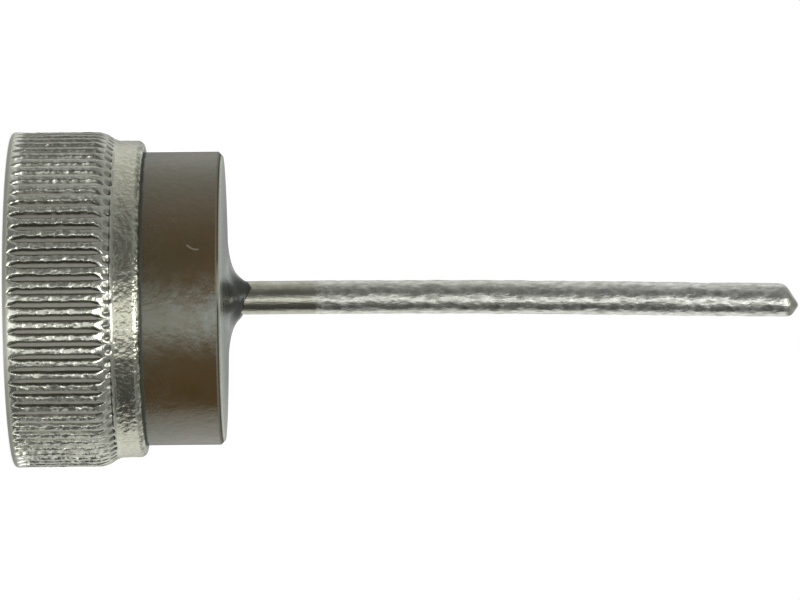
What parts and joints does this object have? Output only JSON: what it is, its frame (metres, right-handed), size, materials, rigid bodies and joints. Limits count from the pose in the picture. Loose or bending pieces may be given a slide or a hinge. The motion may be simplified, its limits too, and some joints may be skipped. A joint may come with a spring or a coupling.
{
  "type": "press-fit alternator diode",
  "caption": "Knurled press-fit metal cup with a moulded plastic sleeve, a cast resin fill and one straight stiff lead.",
  "frame": {"origin": "centre of the cup's flat base face", "axes": "+Z along the lead, away from the base; +X towards the side to which the lead's tip leans; the knurl, sleeve and resin are round about +Z"},
  "size_m": [0.0128, 0.0128, 0.0299],
  "materials": {
    "plating": "satin nickel plate on copper, rough on the ridges",
    "sleeve_plastic": "brown moulded plastic, satin",
    "resin": "dark grey cast resin, glossy",
    "tinned_wire": "tin-dipped copper, dull and grainy",
    "soft_coating": "white silicone",
    "silicon": "polished silicon with plated faces",
    "solder": "dull solder"
  },
  "bodies": {
    "root": {"cup": "plating", "sleeve": "sleeve_plastic", "potting": "resin", "junction_coating": "soft_coating", "silicon_die": "silicon", "base_solder": "solder", "head_solder": "solder", "lead_wire": "tinned_wire"}
  },
  "joints": []
}
